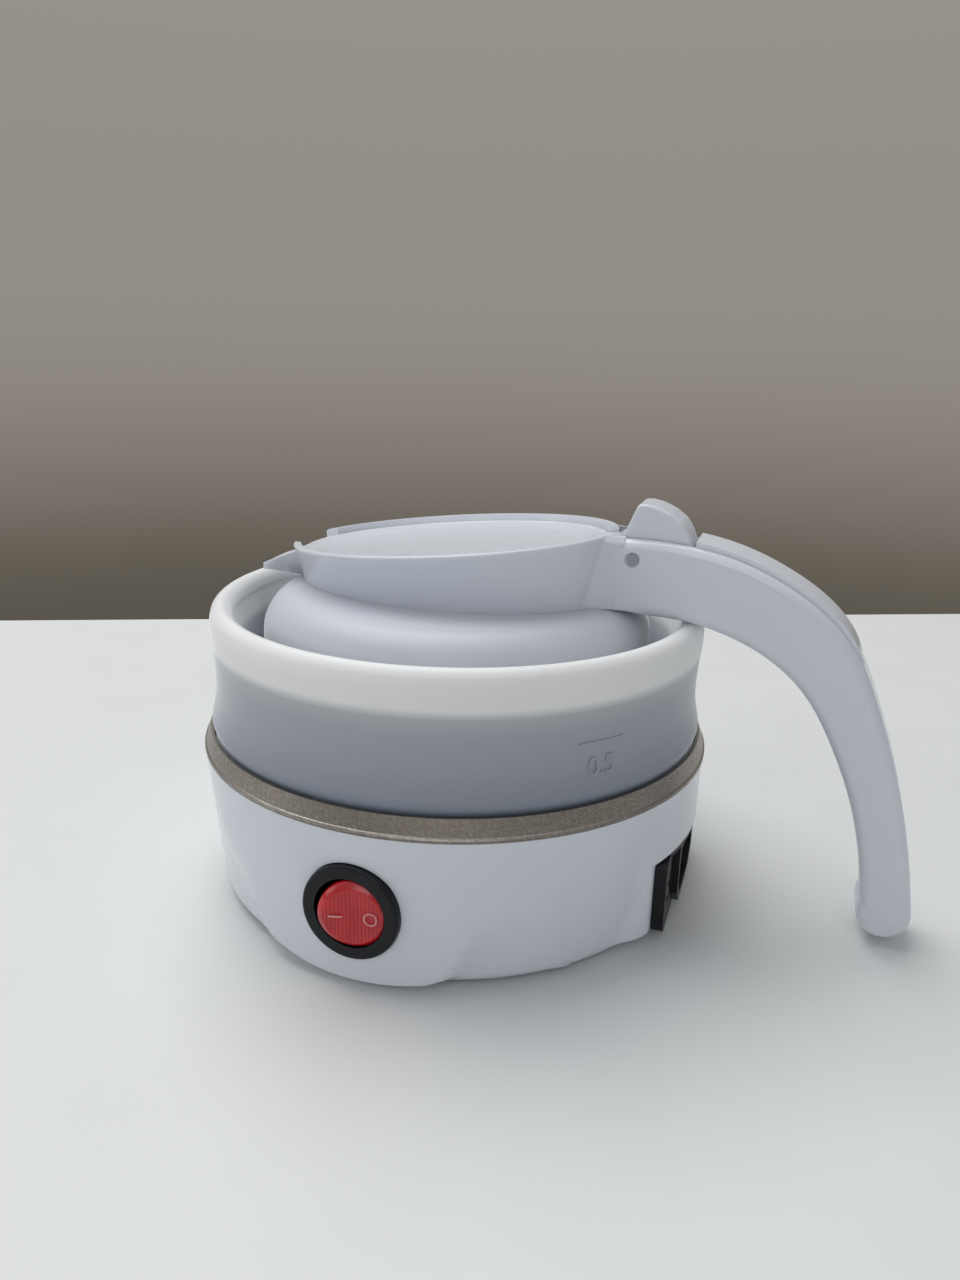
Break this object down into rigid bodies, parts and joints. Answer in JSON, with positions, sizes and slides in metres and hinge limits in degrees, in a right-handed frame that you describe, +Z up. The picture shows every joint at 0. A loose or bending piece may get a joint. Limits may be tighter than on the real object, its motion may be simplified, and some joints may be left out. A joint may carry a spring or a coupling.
{
  "type": "collapsible kettle",
  "caption": "Collapsible electric travel kettle shown folded flat: silicone body on a heated base, spouted collar with hinged lid, curved handle, rocker switch and power inlet.",
  "frame": {"origin": "centre of the round base, on the surface that the kettle stands on", "axes": "+Z up along the base's axis, +X towards the handle and the power inlet, -X towards the spout, -Y towards the switch"},
  "size_m": [0.1872, 0.1377, 0.1043],
  "materials": {
    "white_plastic": "glossy moulded polypropylene",
    "silicone": "frosted translucent food-grade silicone",
    "rubber": "matt rubber",
    "steel": "diagonally brushed stainless steel",
    "stainless": "plain stainless steel",
    "aluminium": "cast aluminium",
    "black_plastic": "black heat-resistant plastic",
    "brass": "bare brass",
    "red_plastic": "clear red polycarbonate",
    "lamp_glass": "clear lamp glass",
    "wire_brown": "brown silicone wire",
    "wire_blue": "blue silicone wire",
    "wire_green": "green and yellow earth wire"
  },
  "bodies": {
    "base": {"base_shell": "white_plastic", "bottom_cover": "white_plastic", "foot_ring": "rubber", "cover_screws": "stainless", "steel_band": "steel", "heating_dish": "stainless", "diffuser_plate": "aluminium", "heating_element": "aluminium", "thermostat": "black_plastic", "thermal_fuse": "brass", "silicone_lower_wall": "silicone", "silicone_fold": "silicone", "switch_housing": "black_plastic", "switch_terminals": "brass", "neon_lamp": "lamp_glass", "inlet_housing": "black_plastic", "inlet_pins": "brass", "inlet_screws": "stainless", "wire_live": "wire_brown", "wire_load": "wire_brown", "wire_heater": "wire_brown", "wire_neutral": "wire_blue", "wire_return": "wire_blue", "wire_earth": "wire_green"},
    "top": {"silicone_upper_wall": "silicone", "neck_ring": "white_plastic", "neck_screws": "stainless", "collar_and_handle": "white_plastic", "handle_cover": "white_plastic", "hinge_pin": "stainless"},
    "lid": {"lid": "white_plastic", "lid_seal": "silicone"},
    "rocker": {"rocker": "red_plastic"}
  },
  "joints": [
    {"name": "unfold", "type": "slide", "parent": "base", "child": "top", "axis": [0, 0, 1], "range_m": [0, 0.044], "deforming": ["silicone_fold"]},
    {"name": "lid_hinge", "type": "hinge", "parent": "top", "child": "lid", "pos_m": [0.0468, 0, 0.0913], "axis": [0, 1, 0], "range_deg": [0, 70]},
    {"name": "switch_rocker", "type": "hinge", "parent": "base", "child": "rocker", "pos_m": [0, -0.06085, 0.0196], "axis": [0, 0, -1], "range_deg": [0, 22]}
  ]
}
